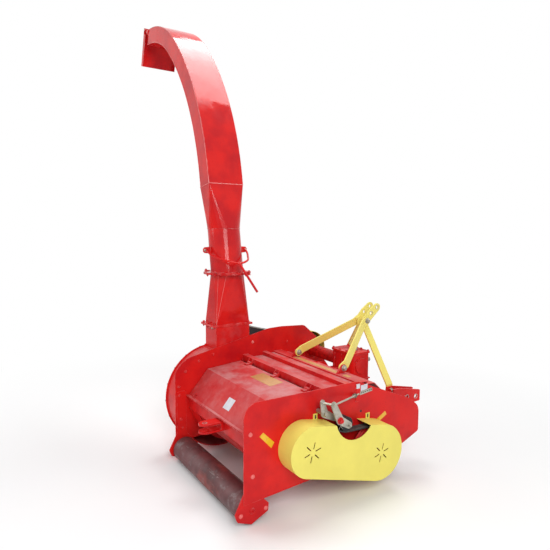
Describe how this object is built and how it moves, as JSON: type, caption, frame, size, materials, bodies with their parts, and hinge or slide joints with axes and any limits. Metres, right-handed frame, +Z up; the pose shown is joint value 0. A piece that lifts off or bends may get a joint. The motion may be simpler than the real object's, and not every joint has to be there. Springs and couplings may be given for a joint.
{
  "type": "forage harvester",
  "caption": "Tractor-mounted flail forage harvester: flail rotor, cross auger with thrower fan, belt drives, turning arched discharge spout and ground roller.",
  "frame": {"origin": "on the floor midway between the side plates, under the auger and fan shaft", "axes": "+X to the machine's right, +Y forwards to the tractor, +Z up"},
  "size_m": [2.8205, 1.6919, 3.6991],
  "materials": {
    "red_paint": "glossy enamel",
    "yellow_paint": "glossy enamel",
    "belt_rubber": "matt",
    "worn_roller": "scuffed primer",
    "bare_steel": "worn",
    "zinc_plate": "galvanised",
    "dark_steel": "satin",
    "dark_paint": "painted casting"
  },
  "bodies": {
    "frame": {"side_plate_right": "red_paint", "side_plate_left": "red_paint", "beam_rear": "red_paint", "beam_mid": "red_paint", "beam_front": "red_paint", "beam_hitch": "red_paint", "deck_plates": "red_paint", "rotor_cover": "red_paint", "auger_trough": "red_paint", "volute_band": "red_paint", "volute_cover": "red_paint", "outlet_duct": "red_paint", "spout_base": "red_paint", "roller_supports": "red_paint", "drive_belts": "belt_rubber", "tensioner": "zinc_plate", "guard_right": "yellow_paint", "guard_left": "yellow_paint", "gearbox": "red_paint", "gearbox_lid": "red_paint", "gearbox_mount": "red_paint", "shaft_tube": "red_paint", "bearings": "dark_paint", "top_link_plates": "yellow_paint", "rear_braces": "yellow_paint", "front_braces": "yellow_paint", "lower_hitch_plates": "red_paint", "tow_hitch": "red_paint", "belt_shield": "dark_steel"},
    "hood": {"rear_hood": "red_paint"},
    "stand": {"parking_stand": "red_paint"},
    "spout": {"spout_pipe": "red_paint", "spout_neck": "red_paint", "spout_arch": "red_paint", "flap_bracket": "red_paint", "turning_handle": "red_paint"},
    "flap": {"deflector_flap": "red_paint"},
    "roller": {"ground_roller": "worn_roller"},
    "flail_rotor": {"rotor_tube": "bare_steel", "flails": "bare_steel", "rotor_pulleys": "red_paint"},
    "auger_fan": {"auger_tube": "red_paint", "auger_flight": "bare_steel", "fan_paddles": "red_paint"},
    "cross_shaft": {"cross_shaft": "bare_steel"},
    "drive_stub": {"drive_stub": "bare_steel"},
    "idler": {"idler_pulley": "dark_steel"}
  },
  "joints": [
    {"name": "hood_hinge", "type": "hinge", "parent": "frame", "child": "hood", "pos_m": [0, 0.166, 0.705], "axis": [-1, 0, 0], "range_deg": [0, 80]},
    {"name": "stand_slide", "type": "slide", "parent": "frame", "child": "stand", "axis": [0, 0, 1], "range_m": [0, 0.2]},
    {"name": "spout_turn", "type": "hinge", "parent": "frame", "child": "spout", "pos_m": [-0.625, 0.0975, 1.4], "axis": [0, 0, 1], "range_deg": [-120, 120]},
    {"name": "flap_hinge", "type": "hinge", "parent": "spout", "child": "flap", "pos_m": [-2.03668, 0.0975, 3.68117], "axis": [0, 1, 0], "range_deg": [0, 60]},
    {"name": "roller_spin", "type": "hinge", "parent": "frame", "child": "roller", "pos_m": [0, -0.335, 0.09], "axis": [1, 0, 0], "continuous": true},
    {"name": "rotor_spin", "type": "hinge", "parent": "frame", "child": "flail_rotor", "pos_m": [0, 0.565, 0.285], "axis": [1, 0, 0], "continuous": true},
    {"name": "auger_spin", "type": "hinge", "parent": "frame", "child": "auger_fan", "pos_m": [0, 0, 0.42], "axis": [1, 0, 0], "continuous": true},
    {"name": "cross_shaft_spin", "type": "hinge", "parent": "frame", "child": "cross_shaft", "pos_m": [-0.4, 0.865, 0.7], "axis": [1, 0, 0], "continuous": true},
    {"name": "drive_stub_spin", "type": "hinge", "parent": "frame", "child": "drive_stub", "pos_m": [0, 0.95, 0.7], "axis": [0, 1, 0], "continuous": true},
    {"name": "idler_spin", "type": "hinge", "parent": "frame", "child": "idler", "pos_m": [0.562, 0.3, 0.52], "axis": [1, 0, 0], "continuous": true}
  ],
  "couplings": [
    {"joint": "auger_spin", "follows": "rotor_spin", "ratio": 1.2444},
    {"joint": "cross_shaft_spin", "follows": "rotor_spin", "ratio": 0.76},
    {"joint": "drive_stub_spin", "follows": "rotor_spin", "ratio": 0.304},
    {"joint": "idler_spin", "follows": "rotor_spin", "ratio": -3.6522}
  ]
}
